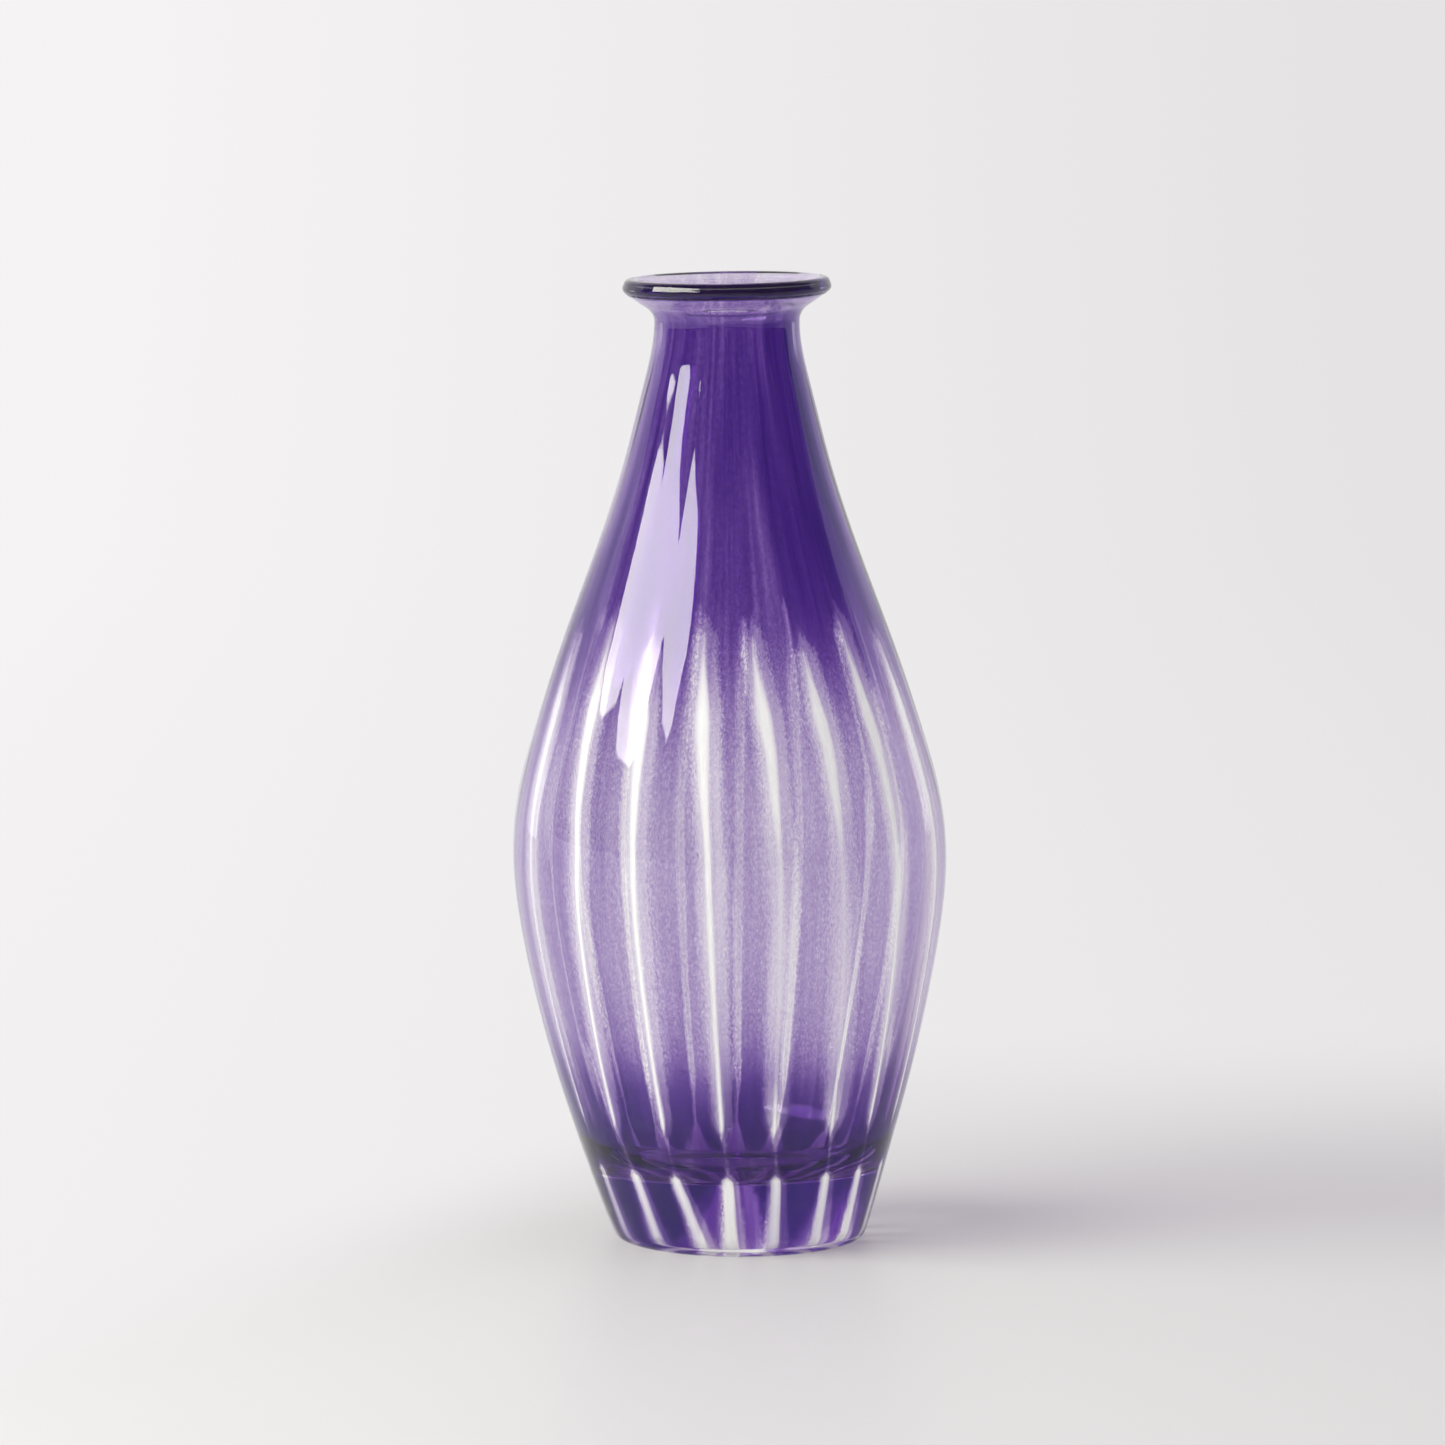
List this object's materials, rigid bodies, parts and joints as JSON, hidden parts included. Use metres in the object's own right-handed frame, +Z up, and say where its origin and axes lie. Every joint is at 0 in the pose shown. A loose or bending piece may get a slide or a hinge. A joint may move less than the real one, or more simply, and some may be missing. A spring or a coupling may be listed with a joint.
{
  "type": "glass vase",
  "caption": "Tall cased glass vase with a solid clear foot, a swelling body of lengthwise violet stripes, a narrow violet neck and a flared round-beaded lip.",
  "frame": {"origin": "centre of the foot's contact ring, on the surface that the vase stands on", "axes": "+Z up along the vase's axis; the outline is round about it, so X and Y are set only by the stripes"},
  "size_m": [0.0966, 0.0966, 0.215],
  "materials": {
    "clear_coat_glass": "clear polished glass, fire-polished and slightly uneven",
    "clear_bottle_glass": "clear glass, thick at the foot",
    "violet_collar_glass": "transparent violet glass with a fine powder grain",
    "violet_stripe_glass": "transparent violet glass with a fine powder grain and soft edges"
  },
  "bodies": {
    "root": {"clear_outer_coat": "clear_coat_glass", "clear_inner_bottle": "clear_bottle_glass", "violet_collar": "violet_collar_glass", "violet_stripe_01": "violet_stripe_glass", "violet_stripe_02": "violet_stripe_glass", "violet_stripe_03": "violet_stripe_glass", "violet_stripe_04": "violet_stripe_glass", "violet_stripe_05": "violet_stripe_glass", "violet_stripe_06": "violet_stripe_glass", "violet_stripe_07": "violet_stripe_glass", "violet_stripe_08": "violet_stripe_glass", "violet_stripe_09": "violet_stripe_glass", "violet_stripe_10": "violet_stripe_glass", "violet_stripe_11": "violet_stripe_glass", "violet_stripe_12": "violet_stripe_glass", "violet_stripe_13": "violet_stripe_glass", "violet_stripe_14": "violet_stripe_glass", "violet_stripe_15": "violet_stripe_glass", "violet_stripe_16": "violet_stripe_glass", "violet_stripe_17": "violet_stripe_glass", "violet_stripe_18": "violet_stripe_glass"}
  },
  "joints": []
}
